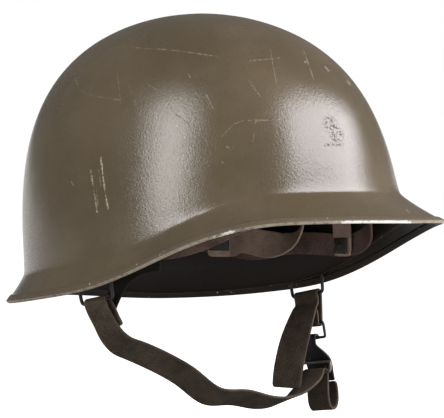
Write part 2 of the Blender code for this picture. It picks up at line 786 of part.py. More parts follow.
def make_tie_strap(parent, collection):
    """Narrow strap from the inside of the right bail up to the liner's inner face."""
    bar, _, _, _ = bail_frame(-1)
    stations = []
    clear = WEB_THICKNESS / 2 + 3 * FIT_GAP
    for row in TIE_TABLE:
        back = bar.y + row.back * TIE_LENGTH
        height = bar.z + row.up * TIE_LENGTH
        reach = abs(bar.x) - row.inwards * TIE_WIDTH
        if height > bar.z + TIE_WIDTH / 2:
            turn = turn_of(LINER_POT, back, height)
            wall = liner_inside(turn, height, TIE_WIDTH, clear)
            reach = min(reach, wall.x)
        stations.append(Station(Vector((-reach, back, height)), across_at(row.yaw, row.tilt), TIE_WIDTH))
    return make_ribbon("tie_strap", smooth_stations(stations, 2), WEB_THICKNESS, STRAP_WEB,
                       parent, collection)


def liner_inside(turn, height, span, depth):
    """Point at a height and a depth inside the liner, clear of its inner face over a span."""
    away = outward(turn)
    face = pot_point(LINER_POT, turn, height)
    nearest = 0.0
    for share in (-0.5, -0.25, 0.25, 0.5):
        level = max(height + span * share, rim_height(LINER_POT, turn))
        other = pot_point(LINER_POT, turn, level)
        nearest = min(nearest, (other - face).dot(away))
    return face + away * (nearest - LINER_WALL - depth)


def band_height(turn):
    """Height of the middle of the suspension band."""
    return SEAT_HEIGHT * read_table(BAND_TABLE, "height", turn)


def make_suspension_band(parent, collection):
    """Webbing band riveted to the liner at six places and slack between them."""
    rivets = sorted(turn % 360 for turn in RIVET_TURNS)
    stations = []
    steps = 10
    for start, end in zip(rivets, rivets[1:] + [rivets[0] + 360]):
        slack = BAND_SLACK * (end - start) / (360 / len(rivets))
        for step in range(steps):
            share = step / steps
            turn = start + (end - start) * share
            depth = BAND_SEAT_GAP + BAND_WEB / 2 + slack * math.sin(math.pi * share) ** 2
            point = liner_inside(turn, band_height(turn), BAND_WEB_WIDTH, depth)
            stations.append(Station(point, Vector((0, 0, 1)), BAND_WEB_WIDTH))
    return make_ribbon("suspension_band", stations, BAND_WEB, BAND_WEB_PAINT, parent, collection, True)


def crown_foot(turn, depth):
    """Point at a depth inside the band's own inner face at a rivet."""
    total = BAND_SEAT_GAP + BAND_WEB + depth
    return liner_inside(turn, band_height(turn), BAND_WEB_WIDTH, total)


def crown_pad_edge(turn, level, radius):
    """Station where a crown strap meets the flat at the crown."""
    away = outward(turn)
    top = SEAT_HEIGHT + level * (BAND_WEB + FIT_GAP) + BAND_WEB / 2
    point = Vector((0, CROWN_SHIFT / 2, top)) + away * radius
    return Station(point, away.cross(Vector((0, 0, 1))), CROWN_WEB_WIDTH)


def crown_arch(turn, level):
    """Stations of one half of a crown strap, from its foot to the flat at the crown."""
    foot = crown_foot(turn, CROWN_FOOT_GAP + BAND_WEB / 2)
    pad = crown_pad_edge(turn, level, CROWN_PAD_RADIUS)
    span = Vector((foot.x - pad.point.x, foot.y - pad.point.y, 0))
    seat = outward(turn).cross(Vector((0, 0, 1)))
    end = Vector((0, 0, BAND_WEB_WIDTH * 0.45))
    stations = [Station(foot - end, seat, CROWN_WEB_WIDTH)]
    foot = foot + Vector((0, 0, WASHER_HEIGHT * 0.7))
    steps = 9
    for step in range(steps + 1):
        angle = math.pi / 2 * step / steps
        run = math.cos(angle) ** (2 / CROWN_ARCH)
        rise = math.sin(angle) ** (2 / CROWN_ARCH)
        point = pad.point + span * run
        point.z = foot.z + (pad.point.z - foot.z) * rise
        stations.append(Station(point, pad.across.lerp(seat, run), CROWN_WEB_WIDTH))
    return stations


def slack_arch(turn, level):
    """Stations of the slack half strap, which droops before it climbs to the crown."""
    foot = crown_foot(turn, CROWN_FOOT_GAP + BAND_WEB / 2)
    forward = outward(turn).cross(Vector((0, 0, 1)))
    down = Vector((0, 0, -1))
    stations = [Station(foot + forward * WASHER_WIDTH * share, down, CROWN_WEB_WIDTH)
                for share in (-0.6, 0.0, 0.6)]
    for row in SLACK_TABLE:
        point = Vector((row.across * DOME_HALF_WIDTH, row.back * DOME_REAR, row.up * SEAT_HEIGHT))
        stations.append(Station(point, across_at(row.yaw, row.tilt), CROWN_WEB_WIDTH))
    pad = crown_pad_edge(SLACK_TURN, level, SLACK_PAD_RADIUS)
    below = pad.point + outward(SLACK_TURN) * SLACK_PAD_RADIUS / 2 + down * 2 * BAND_WEB
    return smooth_stations(stations + [pad._replace(point=below), pad], 3)


def make_crown_straps(parent, collection):
    """Three straps over the crown, each riveted at both ends, crossing one above another."""
    for level, (one, other) in enumerate(CROWN_PAIRS):
        first = crown_arch(RIVET_TURNS[one], level)
        last = crown_arch(RIVET_TURNS[other], level)
        if RIVET_TURNS[other] == SLACK_RIVET:
            last = slack_arch(RIVET_TURNS[other], level)
        flipped = [Station(s.point, -s.across, s.width) for s in reversed(last)]
        make_ribbon("crown_strap_%d" % (level + 1), first + flipped, BAND_WEB, BAND_WEB_PAINT,
                    parent, collection)


def make_washers(parent, collection):
    """Bevelled plate over each end of the crown straps."""
    for number, turn in enumerate(RIVET_TURNS):
        depth = CROWN_FOOT_GAP + BAND_WEB + FIT_GAP + WASHER_THICKNESS / 2
        place = crown_foot(turn, depth)
        mesh = mesh_from("washer", lambda shape: bmesh.ops.create_cube(shape, size=1.0))
        mesh.transform(Matrix.Diagonal((WASHER_WIDTH, WASHER_THICKNESS, WASHER_HEIGHT, 1.0)))
        made = finish("washer_%d" % (number + 1), mesh, WORN_METAL, parent, collection)
        soft = made.modifiers.new("edges", "BEVEL")
        soft.width = WASHER_BEVEL
        soft.segments = 1
        away = outward(turn)
        up = Vector((0, 0, 1))
        turned = Matrix((away.cross(up), away, up)).transposed()
        made.matrix_local = Matrix.Translation(place) @ turned.to_4x4()


def main():
    """Build the helmet."""
    clear_scene()
    collection = bpy.data.collections.new(HELMET_NAME)
    bpy.context.scene.collection.children.link(collection)
    rim_level = bpy.data.objects.new("rim_level", None)
    rim_level.location = (0, 0, -SEAT_HEIGHT)
    collection.objects.link(rim_level)
    make_pot("steel_shell", SHELL_POT, STEEL_PAINT, rim_level, collection)
    make_rim_band(rim_level, collection)
    make_pot("liner", LINER_POT, LINER_PAINT, rim_level, collection)
    for name, side in (("right", -1), ("left", 1)):
        make_bracket("bail_bracket_" + name, side, rim_level, collection)
        make_bail("bail_" + name, side, rim_level, collection)
    make_chin_strap(rim_level, collection)
    make_short_strap(rim_level, collection)
    make_link(rim_level, collection)
    make_hook(rim_level, collection)
    make_slider(rim_level, collection)
    make_tie_strap(rim_level, collection)
    make_suspension_band(rim_level, collection)
    make_crown_straps(rim_level, collection)
    make_washers(rim_level, collection)


main()
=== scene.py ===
"""Dresses the steel combat helmet: paint, liner, webbing, wire fittings, studio and camera.

Lengths are in metres in the part's own frame: the wearer looks along -Y, the wearer's left
is +X, up is +Z, and the origin lies where the crown of the head rests.
"""

import logging
import math
from dataclasses import dataclass, field
from enum import Enum
from itertools import permutations
from typing import Iterable, NamedTuple, Optional, Sequence, Union

import bmesh
import bpy
from mathutils import Matrix, Vector
from mathutils.kdtree import KDTree


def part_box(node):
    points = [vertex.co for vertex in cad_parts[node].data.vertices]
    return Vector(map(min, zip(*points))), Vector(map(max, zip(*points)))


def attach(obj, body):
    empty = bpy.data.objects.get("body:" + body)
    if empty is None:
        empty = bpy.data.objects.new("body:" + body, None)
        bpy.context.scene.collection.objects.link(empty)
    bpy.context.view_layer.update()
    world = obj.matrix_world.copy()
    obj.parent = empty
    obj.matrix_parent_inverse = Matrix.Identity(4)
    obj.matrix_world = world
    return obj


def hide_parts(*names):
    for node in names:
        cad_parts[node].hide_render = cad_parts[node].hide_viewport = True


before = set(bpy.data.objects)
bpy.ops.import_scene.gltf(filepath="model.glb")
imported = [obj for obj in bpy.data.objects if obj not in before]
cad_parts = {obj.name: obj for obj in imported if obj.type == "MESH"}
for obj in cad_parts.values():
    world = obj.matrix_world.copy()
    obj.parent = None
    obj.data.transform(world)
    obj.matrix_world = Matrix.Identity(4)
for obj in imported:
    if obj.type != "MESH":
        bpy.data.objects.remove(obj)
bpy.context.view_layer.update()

LOG = logging.getLogger("helmet")
BODY = "root"
MERGE = 1e-5
MM = 0.001

# Folds sharper than these count as edges, on pieces in general and on the rivet plates
SHARP = math.radians(60)
PLATE_SHARP = math.radians(30)
BEVEL_STEPS = 2

# How far from flat and from a right angle two triangles still make a quad
QUAD_BEND = math.radians(50)
QUAD_SKEW = math.radians(70)

# How soon a face counts as turned inwards, outwards or down, and what facing up adds
FACING_STEP = 3.0
DOWN_STEP = 2.0
UP_SHARE = 0.35

# Corners in each ring of a strap's solid
RING = 4

# Frame of the photograph in pixels, width of the film in millimetres, and the step in
# millimetres that places on the chart are kept to
FRAME_WIDTH = 444
FRAME_HEIGHT = 418
FILM_WIDTH = 36.0
CHART_STEP = 0.5


class Side(Enum):
    """The wearer's side that a fitting is on."""

    RIGHT = "right"
    LEFT = "left"


class Weave(Enum):
    """How webbing is woven: the pitch of its ribs in metres and how deep they look."""

    TIGHT = (0.0011, 0.55)
    COARSE = (0.0014, 0.25)

    @property
    def rib(self) -> float:
        """Pitch of the ribs."""
        return self.value[0]

    @property
    def depth(self) -> float:
        """How deep the ribs look, from 0 to 1."""
        return self.value[1]


# Shader expressions


class Value:
    """A shader socket that takes part in arithmetic and adds its Math nodes itself."""

    def __init__(self, graph: "Graph", socket: bpy.types.NodeSocket) -> None:
        """Keep the graph and the socket."""
        self.graph = graph
        self.socket = socket

    def _math(self, operation: str, *others: "Number", clamp: bool = False) -> "Value":
        """One Math node on this value and others."""
        return self.graph.math(operation, self, *others, clamp=clamp)

    def __add__(self, other: "Number") -> "Value":
        """Sum."""
        return self._math("ADD", other)

    def __radd__(self, other: "Number") -> "Value":
        """Sum with the number first."""
        return self._math("ADD", other)

    def __sub__(self, other: "Number") -> "Value":
        """Difference."""
        return self._math("SUBTRACT", other)

    def __rsub__(self, other: "Number") -> "Value":
        """Difference with the number first."""
        return self.graph.math("SUBTRACT", other, self)

    def __mul__(self, other: "Number") -> "Value":
        """Product."""
        return self._math("MULTIPLY", other)

    def __rmul__(self, other: "Number") -> "Value":
        """Product with the number first."""
        return self._math("MULTIPLY", other)

    def __truediv__(self, other: "Number") -> "Value":
        """Quotient."""
        return self._math("DIVIDE", other)

    def __rtruediv__(self, other: "Number") -> "Value":
        """Quotient with the number first."""
        return self.graph.math("DIVIDE", other, self)

    def __pow__(self, other: "Number") -> "Value":
        """Power."""
        return self._math("POWER", other)

    def clamped(self) -> "Value":
        """The value held between 0 and 1."""
        return self._math("ADD", 0.0, clamp=True)

    def ramp(self, low: float, high: float) -> "Value":
        """Smooth step from 0 at low to 1 at high.

        Args:
            low: value at which the step starts.
            high: value at which the step ends; lower than low turns the step round.

        Returns:
            The stepped value.
        """
        node = self.graph.add("ShaderNodeMapRange", {"interpolation_type": "SMOOTHSTEP"},
                              {"Value": self, "From Min": low, "From Max": high})
        return node.out("Result")

    def through(self, gate: "Gate") -> "Value":
        """Smooth step between the two ends of a gate."""
        return self.ramp(gate.low, gate.high)


Number = Union[Value, float]


class Made:
    """A node that has been added, for its outputs."""

    def __init__(self, graph: "Graph", node: bpy.types.Node) -> None:
        """Keep the graph and the node."""
        self.graph = graph
        self.node = node

    def out(self, name: Union[str, int] = 0) -> Value:
        """Output by name or number."""
        return Value(self.graph, self.node.outputs[name])


class Graph:
    """The node tree of one material, with its Principled shader."""

    def __init__(self, name: str) -> None:
        """Start a material.

        Args:
            name: the material's name.
        """
        self.material = bpy.data.materials.new(name)
        self.material.use_nodes = True
        self.tree = self.material.node_tree
        self.shader = self.tree.nodes["Principled BSDF"]
        self.place = self.add("ShaderNodeTexCoord").out("Object")

    def add(self, kind: str, settings: Optional[dict] = None, inputs: Optional[dict] = None) -> Made:
        """Add a node.

        Args:
            kind: Blender's name of the node type.
            settings: properties of the node, set first.
            inputs: values or values' sockets by input name or number.

        Returns:
            The node.
        """
        node = self.tree.nodes.new(kind)
        for key, value in (settings or {}).items():
            setattr(node, key, value)
        for key, value in (inputs or {}).items():
            self.feed(node.inputs[key], value)
        return Made(self, node)

    def feed(self, socket: bpy.types.NodeSocket, value: object) -> None:
        """Link or set one input socket."""
        if isinstance(value, Value):
            self.tree.links.new(value.socket, socket)
        else:
            socket.default_value = value

    def math(self, operation: str, *terms: Number, clamp: bool = False) -> Value:
        """A Math node."""
        settings = {"operation": operation, "use_clamp": clamp}
        return self.add("ShaderNodeMath", settings, dict(enumerate(terms))).out()

    def vector(self, operation: str, *terms: object) -> Made:
        """A Vector Math node."""
        return self.add("ShaderNodeVectorMath", {"operation": operation}, dict(enumerate(terms)))

    def mix(self, share: Number, low: object, high: object) -> Value:
        """Mix two colours by a share.

        Args:
            share: 0 gives low and 1 gives high.
            low: colour or colour socket.
            high: colour or colour socket.

        Returns:
            The mixed colour.
        """
        inputs = {"Factor": share, 6: self.paint(low), 7: self.paint(high)}
        return self.add("ShaderNodeMix", {"data_type": "RGBA"}, inputs).out(2)

    @staticmethod
    def paint(colour: object) -> object:
        """A colour of three numbers given its alpha; a socket as it is."""
        return colour if isinstance(colour, Value) else (*colour, 1.0)

    def noise(self, scale: float, detail: float = 2.0, roughness: float = 0.5,
              at: Optional[Value] = None) -> Value:
        """Noise from 0 to 1 at a scale in waves a metre."""
        inputs = {"Vector": at or self.place, "Scale": scale, "Detail": detail, "Roughness": roughness}
        return self.add("ShaderNodeTexNoise", {}, inputs).out(0)

    def attribute(self, name: str) -> Value:
        """A number that is written on the mesh's corners."""
        return self.add("ShaderNodeAttribute", {"attribute_name": name}).out("Fac")

    def split(self, vector: Value) -> tuple[Value, Value, Value]:
        """The three parts of a vector."""
        made = self.add("ShaderNodeSeparateXYZ", {}, {0: vector})
        return made.out(0), made.out(1), made.out(2)

    def bump(self, height: Value, distance: float, strength: float = 1.0,
             under: Optional[Value] = None) -> Value:
        """A bump of a height from 0 to 1 with its depth in metres."""
        inputs: dict = {"Height": height, "Distance": distance, "Strength": strength}
        if under is not None:
            inputs["Normal"] = under
        return self.add("ShaderNodeBump", {}, inputs).out()

    def finish(self, **inputs: object) -> bpy.types.Material:
        """Feed the Principled shader and give the material.

        Args:
            inputs: values by the shader's input names, with underscores for spaces.

        Returns:
            The material.
        """
        for key, value in inputs.items():
            socket = self.shader.inputs[key.replace("_", " ")]
            if socket.type == "RGBA":
                value = self.paint(value)
            self.feed(socket, value)
        return self.material


# Modelling helpers


def deselect() -> None:
    """Leave object mode's selection empty."""
    if bpy.context.mode != "OBJECT":
        bpy.ops.object.mode_set(mode="OBJECT")
    bpy.ops.object.select_all(action="DESELECT")


def activate(piece: bpy.types.Object) -> None:
    """Select one object alone."""
    deselect()
    piece.select_set(True)
    bpy.context.view_layer.objects.active = piece


def apply_modifier(piece: bpy.types.Object, kind: str, **settings: object) -> None:
    """Add a modifier and apply it.

    Args:
        piece: the object.
        kind: Blender's name of the modifier type.
        settings: properties of the modifier.
    """
    activate(piece)
    made = piece.modifiers.new(kind.lower(), kind)
    for key, value in settings.items():
        setattr(made, key, value)
    bpy.ops.object.modifier_apply(modifier=made.name)


def subdivide(piece: bpy.types.Object, levels: int) -> None:
    """Round a piece with an applied subdivision surface."""
    apply_modifier(piece, "SUBSURF", levels=levels, render_levels=levels)


def bevel(piece: bpy.types.Object, width: float, limit: float = SHARP) -> None:
    """Break the edges of a piece that are sharper than a limit."""
    apply_modifier(piece, "BEVEL", width=width, segments=BEVEL_STEPS, limit_method="ANGLE",
                   angle_limit=limit)


def register(piece: bpy.types.Object, material: bpy.types.Material, slot: str,
             *nodes: str) -> bpy.types.Object:
    """Give a finished piece its material, its body and the CAD nodes that it stands for.

    Args:
        piece: the finished object.
        material: its finish.
        slot: the material slot's name; not used.
        nodes: CAD nodes that it replaces.

    Returns:
        The piece.
    """
    piece.data.materials.clear()
    piece.data.materials.append(material)
    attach(piece, BODY)
    if nodes:
        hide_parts(*nodes)
    LOG.info("%s: %d faces", piece.name, len(piece.data.polygons))
    return piece


def copy_of(node: str, name: str) -> bpy.types.Object:
    """A CAD node's mesh as a new piece, merged and turned into quads.

    Args:
        node: name of the CAD node.
        name: name of the new piece.

    Returns:
        The new piece.
    """
    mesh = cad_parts[node].data.copy()
    piece = bpy.data.objects.new(name, mesh)
    bpy.context.scene.collection.objects.link(piece)
    activate(piece)
    bpy.ops.object.mode_set(mode="EDIT")
    bpy.ops.mesh.select_all(action="SELECT")
    bpy.ops.mesh.remove_doubles(threshold=MERGE)
    bpy.ops.mesh.tris_convert_to_quads(face_threshold=QUAD_BEND, shape_threshold=QUAD_SKEW)
    bpy.ops.object.mode_set(mode="OBJECT")
    mesh.shade_smooth()
    return piece


def sharp_places(piece: bpy.types.Object) -> list[Vector]:
    """Corners along the sharp edges of a piece."""
    shape = bmesh.new()
    shape.from_mesh(piece.data)
    found = {v.index: v.co.copy() for e in shape.edges if e.calc_face_angle(0.0) > SHARP for v in e.verts}
    shape.free()
    return list(found.values())


def mark_distance(piece: bpy.types.Object, name: str, places: Iterable[Vector], reach: float) -> None:
    """Write how near each corner of a piece lies to some places, 1 at them and 0 beyond reach.

    Args:
        piece: the object.
        name: name of the attribute.
        places: the places.
        reach: distance at which the mark has faded.
    """
    spots = list(places)
    tree = KDTree(len(spots))
    for number, spot in enumerate(spots):
        tree.insert(spot, number)
    tree.balance()
    layer = piece.data.attributes.new(name, "FLOAT", "POINT")
    for vertex, cell in zip(piece.data.vertices, layer.data):
        _, _, distance = tree.find(vertex.co)
        cell.value = max(0.0, 1.0 - distance / reach)


def mark_inner(piece: bpy.types.Object, name: str, centre: Vector) -> None:
    """Write which corners of a piece face the head or the ground, 1 there and 0 outside, to place painted
    shade.

    Args:
        piece: the object.
        name: name of the attribute.
        centre: middle of the rim's level.
    """
    layer = piece.data.attributes.new(name, "FLOAT", "POINT")
    for vertex, cell in zip(piece.data.vertices, layer.data):
        facing = vertex.normal.dot((vertex.co - centre).normalized()) + vertex.normal.z * UP_SHARE
        cell.value = min(1.0, max(0.0, 0.5 - FACING_STEP * facing))


def mark_lip(piece: bpy.types.Object, name: str, centre: Vector) -> None:
    """Write which corners of a piece face outwards and down, 1 there and 0 elsewhere.

    Args:
        piece: the object.
        name: name of the attribute.
        centre: middle of the rim's level.
    """
    layer = piece.data.attributes.new(name, "FLOAT", "POINT")
    for vertex, cell in zip(piece.data.vertices, layer.data):
        outward = (vertex.co - centre).normalized().dot(vertex.normal)
        downward = min(1.0, max(0.0, -DOWN_STEP * vertex.normal.z))
        cell.value = downward * min(1.0, max(0.0, FACING_STEP * outward))


# View and marks


def sight_axes(azimuth: float, elevation: float) -> tuple[Vector, Vector, Vector]:
    """Directions of a view from an azimuth and elevation in degrees.

    Args:
        azimuth: turn about the upright from the front, towards the left.
        elevation: rise above the level.

    Returns:
        The directions back towards the viewer, right and up.
    """
    turn = math.radians(azimuth)
    rise = math.radians(elevation)
    back = Vector((math.sin(turn) * math.cos(rise), -math.cos(turn) * math.cos(rise), math.sin(rise)))
    right = Vector((math.cos(turn), math.sin(turn), 0.0))
    return back, right, back.cross(right)


class Stroke(NamedTuple):
    """A scratch or rub on the chart, in millimetres right of and above its middle."""

    x0: float
    y0: float
    x1: float
    y1: float
    width: float
    strength: float


class Pixel(NamedTuple):
    """A place on the photograph's frame, from its left and top edges."""

    across: float
    down: float


class Scratch(NamedTuple):
    """A scratch or rub: the bends of its line, its width in millimetres and its strength."""

    bends: tuple[Pixel, ...]
    width: float
    strength: float


@dataclass(frozen=True)
class View:
    """Where the photograph was taken from; scratches lie on a chart that is fixed to the helmet."""

    middle: tuple = (0.0, 0.005, -0.060)
    azimuth: float = -51.5
    elevation: float = -0.87
    distance: float = 2.0
    lens: float = 257.7
    right_turn: float = 0.00405
    down_turn: float = 0.01303
    fade: float = 0.010

    def axes(self) -> tuple[Vector, Vector, Vector]:
        """Directions back towards the viewer, right and up."""
        return sight_axes(self.azimuth, self.elevation)

    def chart_place(self, spot: Pixel) -> tuple[float, float]:
        """Where a place on the frame falls on the chart.

        Args:
            spot: the place on the frame.

        Returns:
            Millimetres right of and above the chart's middle.
        """
        focal = self.lens / FILM_WIDTH * FRAME_WIDTH
        step = focal * MM / self.distance * CHART_STEP
        right = spot.across - (FRAME_WIDTH / 2 - self.right_turn * focal)
        high = (FRAME_HEIGHT / 2 - self.down_turn * focal) - spot.down
        return round(right / step) * CHART_STEP, round(high / step) * CHART_STEP

    def strokes(self, scratches: Sequence[Scratch]) -> list[Stroke]:
        """The straight parts of some scratches on the chart.

        Args:
            scratches: the scratches as marked.

        Returns:
            One stroke for each part between two bends.
        """
        rows = []
        for scratch in scratches:
            places = [self.chart_place(bend) for bend in scratch.bends]
            for begun, ended in zip(places, places[1:]):
                rows.append(Stroke(*begun, *ended, scratch.width, scratch.strength))
        return rows

    def chart(self, graph: Graph) -> tuple[Value, Value]:
        """Where each point of the surface falls on the chart.

        Args:
            graph: the material's nodes.

        Returns:
            The place in millimetres as a vector, and 1 on the near side or 0 beyond it.
        """
        offset = graph.vector("SUBTRACT", graph.place, self.middle).out()
        near, over, high = (graph.vector("DOT_PRODUCT", offset, tuple(axis)).out("Value")
                            for axis in self.axes())
        scale = (1.0 / MM) / (1.0 - near / self.distance)
        spot = graph.add("ShaderNodeCombineXYZ", {}, {0: over * scale, 1: high * scale}).out()
        return spot, near.ramp(-self.fade, self.fade)


PHOTO_VIEW = View()


# Finishes


class Gate(NamedTuple):
    """Noise at a scale in waves a metre, and the two values that it steps between."""

    scale: float
    low: float
    high: float


@dataclass(frozen=True)
class SteelPaint:
    """Satin olive paint over pressed steel."""

    light: tuple = (0.084, 0.064, 0.038)
    dark: tuple = (0.066, 0.050, 0.028)
    # Pale colour of the rubbed scratches and of the painted glints
    rubbed_and_highlight: tuple = (0.420, 0.370, 0.290)
    chipped: tuple = (0.014, 0.011, 0.008)
    painted_shade: tuple = (0.010, 0.008, 0.006)
    roughness: float = 0.23
    clouds: Gate = Gate(14.0, 0.35, 0.68)
    pepper: Gate = Gate(420.0, 0.56, 0.78)
    glint_start: float = 0.36
    glint_full: float = 0.20
    pits: Gate = Gate(75.0, 0.70, 0.76)
    waves: float = 34.0
    wave_depth: float = 0.0006
    grain: float = 700.0
    grain_depth: float = 0.00016
    wobble_scale: float = 140.0
    wobble: float = 1.6
    bright: Sequence[Stroke] = ()
    dull: Sequence[Stroke] = ()
    dashes: Gate = Gate(700.0, 0.36, 0.58)
    specks: Gate = Gate(820.0, 0.50, 0.555)

    def strokes(self, graph: Graph, rows: Sequence[Stroke], spot: Value, gate: Gate) -> Number:
        """How strongly any of some strokes marks the surface.

        Args:
            graph: the material's nodes.
            rows: the strokes.
            spot: place on the chart.
            gate: the noise that breaks them up.

        Returns:
            0 where none does, up to 1.
        """
        wobble = (graph.noise(self.wobble_scale, 2.0) - 0.5) * self.wobble
        total: Number = 0.0
        for row in rows:
            start = Vector((row.x0, row.y0, 0.0))
            line = Vector((row.x1, row.y1, 0.0)) - start
            from_start = graph.vector("SUBTRACT", spot, tuple(start)).out()
            along = graph.vector("DOT_PRODUCT", from_start, tuple(line)).out("Value")
            share = graph.math("DIVIDE", along, line.length_squared, clamp=True)
            foot = graph.vector("SCALE", tuple(line)).node
            graph.feed(foot.inputs["Scale"], share)
            away = graph.vector("SUBTRACT", from_start, Value(graph, foot.outputs[0])).out()
            distance = graph.vector("LENGTH", away).out("Value")
            mark = (distance + wobble).ramp(row.width * 0.75, row.width * 0.20) * row.strength
            total = graph.math("MAXIMUM", total, mark)
        return total * graph.noise(gate.scale, 2.0).through(gate)

    def make(self) -> bpy.types.Material:
        """The shell's material."""
        graph = Graph("olive_paint")
        spot, near = PHOTO_VIEW.chart(graph)
        cloudy = graph.noise(self.clouds.scale, 4.0, 0.6)
        speck = graph.noise(self.pepper.scale, 3.0, 0.6)
        colour = graph.mix(cloudy.through(self.clouds), self.dark, self.light)
        colour = graph.mix(speck.through(self.pepper) * 0.30, colour, self.chipped)
        # Pale specks mixed into the paint are painted glints.
        colour = graph.mix(speck.ramp(self.glint_start, self.glint_full) * 0.12, colour, self.rubbed_and_highlight)
        pits = graph.noise(self.pits.scale, 5.0, 0.7).through(self.pits)
        colour = graph.mix(pits * 0.55, colour, self.chipped)
        bright = self.strokes(graph, self.bright, spot, self.dashes) * near
        dull = self.strokes(graph, self.dull, spot, self.specks) * near
        colour = graph.mix(bright, colour, self.rubbed_and_highlight)
        colour = graph.mix(dull, colour, self.chipped)
        # Faces turned in towards the head or down to the floor are painted near black: painted shade.
        inner = graph.attribute("inner")
        colour = graph.mix(inner * 0.85, colour, self.painted_shade)
        rough = self.roughness + (cloudy - 0.5) * 0.10 + (speck - 0.5) * 0.14 + bright * 0.08 + dull * 0.6
        waves = graph.noise(self.waves, 2.0)
        grain = graph.noise(self.grain, 3.0, 0.65)
        normal = graph.bump(waves, self.wave_depth, 0.45)
        normal = graph.bump(grain, self.grain_depth, 0.85, normal)
        return graph.finish(Base_Color=colour, Roughness=rough, Normal=normal, Specular_IOR_Level=0.58)


@dataclass(frozen=True)
class WornRim:
    """Olive paint on the edge strip, rubbed to bare steel towards the front."""

    paint: tuple = (0.072, 0.055, 0.032)
    pale: tuple = (0.450, 0.390, 0.300)
    bare: tuple = (0.780, 0.750, 0.690)
    painted_shade: tuple = (0.010, 0.008, 0.006)
    fore_marks: tuple = (74.0, 90.0, 124.0, 134.0)
    beside_marks: tuple = (-10.0, 0.0, 18.0, 30.0)

    @staticmethod
    def stretch(over: Value, marks: tuple) -> Value:
        """How fully a point lies in a stretch of the rim.

        Args:
            over: place along the rim on the chart, in millimetres.
            marks: where the stretch begins, is full, fades and ends.

        Returns:
            1 in the stretch, down to 0 beyond it.
        """
        begun, full, fading, ended = marks
        return over.ramp(begun, full) * over.ramp(ended, fading)

    def make(self) -> bpy.types.Material:
        """The rim's material."""
        graph = Graph("worn_rim")
        spot, near = PHOTO_VIEW.chart(graph)
        over, _, _ = graph.split(spot)
        patches = graph.noise(260.0, 4.0, 0.65)
        fore = self.stretch(over, self.fore_marks) * near
        beside = self.stretch(over, self.beside_marks) * near
        inner = graph.attribute("inner")
        lip = graph.attribute("lip")
        worn = (patches + (fore * 0.34 + beside * 0.19) * lip).ramp(0.66, 0.72)
        # A pale line along the outward, downward lip, patchy and stronger at the front: partly rubbed
        # paint, partly a painted highlight.
        rubbed_and_highlight = lip * (patches + fore * 0.2).ramp(0.25, 0.55)
        # The strip's inside and underside are painted near black: painted shade.
        colour = graph.mix(inner * 0.8, self.paint, self.painted_shade)
        colour = graph.mix(rubbed_and_highlight * 0.65, colour, self.pale)
        colour = graph.mix(worn, colour, self.bare)
        normal = graph.bump(graph.noise(700.0, 3.0), 0.00008, 0.6)
        return graph.finish(Base_Color=colour, Roughness=0.55 - worn * 0.12, Metallic=worn * 0.25,
                            Normal=normal, Specular_IOR_Level=0.35)


@dataclass(frozen=True)
class LinerShell:
    """Dark resin-soaked fibre, paler along its edges."""

    body: tuple = (0.008, 0.0055, 0.0040)
    warm: tuple = (0.018, 0.0120, 0.0080)
    edge: tuple = (0.240, 0.190, 0.130)

    def make(self) -> bpy.types.Material:
        """The liner's material."""
        graph = Graph("liner_fibre")
        cloudy = graph.noise(26.0, 4.0, 0.6)
        near = graph.attribute("edge")
        fray = graph.noise(240.0, 3.0)
        # Paler along the liner's sharp edges, broken by noise.
        rub = (near + (fray - 0.5) * 0.5).ramp(0.45, 0.75)
        colour = graph.mix(cloudy, self.body, self.warm)
        colour = graph.mix(rub * 0.8, colour, self.edge)
        weave = graph.noise(520.0, 2.0)
        normal = graph.bump(weave, 0.00015, 0.7)
        return graph.finish(Base_Color=colour, Roughness=0.46 + (cloudy - 0.5) * 0.2, Normal=normal,
                            Specular_IOR_Level=0.2)


@dataclass(frozen=True)
class Webbing:
    """Woven cotton webbing with firm selvedges; UV runs along and across in metres."""

    name: str
    thread: tuple
    shade: tuple
    selvedge: tuple
    width: float
    weave: Weave = Weave.TIGHT
    dirt: tuple = (0.016, 0.013, 0.010)
    lint: tuple = (0.350, 0.310, 0.250)

    def make(self) -> bpy.types.Material:
        """The webbing's material."""
        graph = Graph(self.name)
        cloth = graph.add("ShaderNodeUVMap", {"uv_map": "UVMap"}).out()
        along, across, _ = graph.split(cloth)
        rib = self.weave.rib
        depth = self.weave.depth
        pick = rib * 0.85
        turn = 2 * math.pi
        column = graph.math("FLOOR", across / rib)
        offset = graph.math("MODULO", column, 2.0) * 0.5
        yarn = graph.math("SINE", (across / rib) * turn) * 0.5 + 0.5
        over = graph.math("SINE", (along / pick + offset) * turn) * 0.5 + 0.5
        height = (yarn * 0.45 + over * 0.55).clamped()
        patches = graph.noise(60.0, 4.0, 0.65)
        fluff = graph.noise(1300.0, 2.0)
        # The weave's valleys are painted darker as shade, mixed with random patches and fluff.
        tone = (height * depth + patches * 0.6 + (fluff - 0.5) * 0.7).ramp(depth * 0.5, depth * 0.5 + 0.65)
        colour = graph.mix(tone, self.shade, self.thread)
        middle = graph.math("ABSOLUTE", across)
        edge = middle.ramp(self.width * 0.43, self.width * 0.485)
        colour = graph.mix(edge * 0.35, colour, self.selvedge)
        lint = graph.noise(520.0, 1.0).ramp(0.80, 0.84)
        colour = graph.mix(lint * 0.5, colour, self.lint)
        grime = graph.noise(38.0, 5.0, 0.7).ramp(0.48, 0.72)
        colour = graph.mix(grime * 0.6, colour, self.dirt)
        normal = graph.bump(height, 0.00030, 0.3 + depth)
        normal = graph.bump(fluff, 0.00014, 0.8, normal)
        return graph.finish(Base_Color=colour, Roughness=0.88 - height * 0.06, Normal=normal,
                            Specular_IOR_Level=0.2)


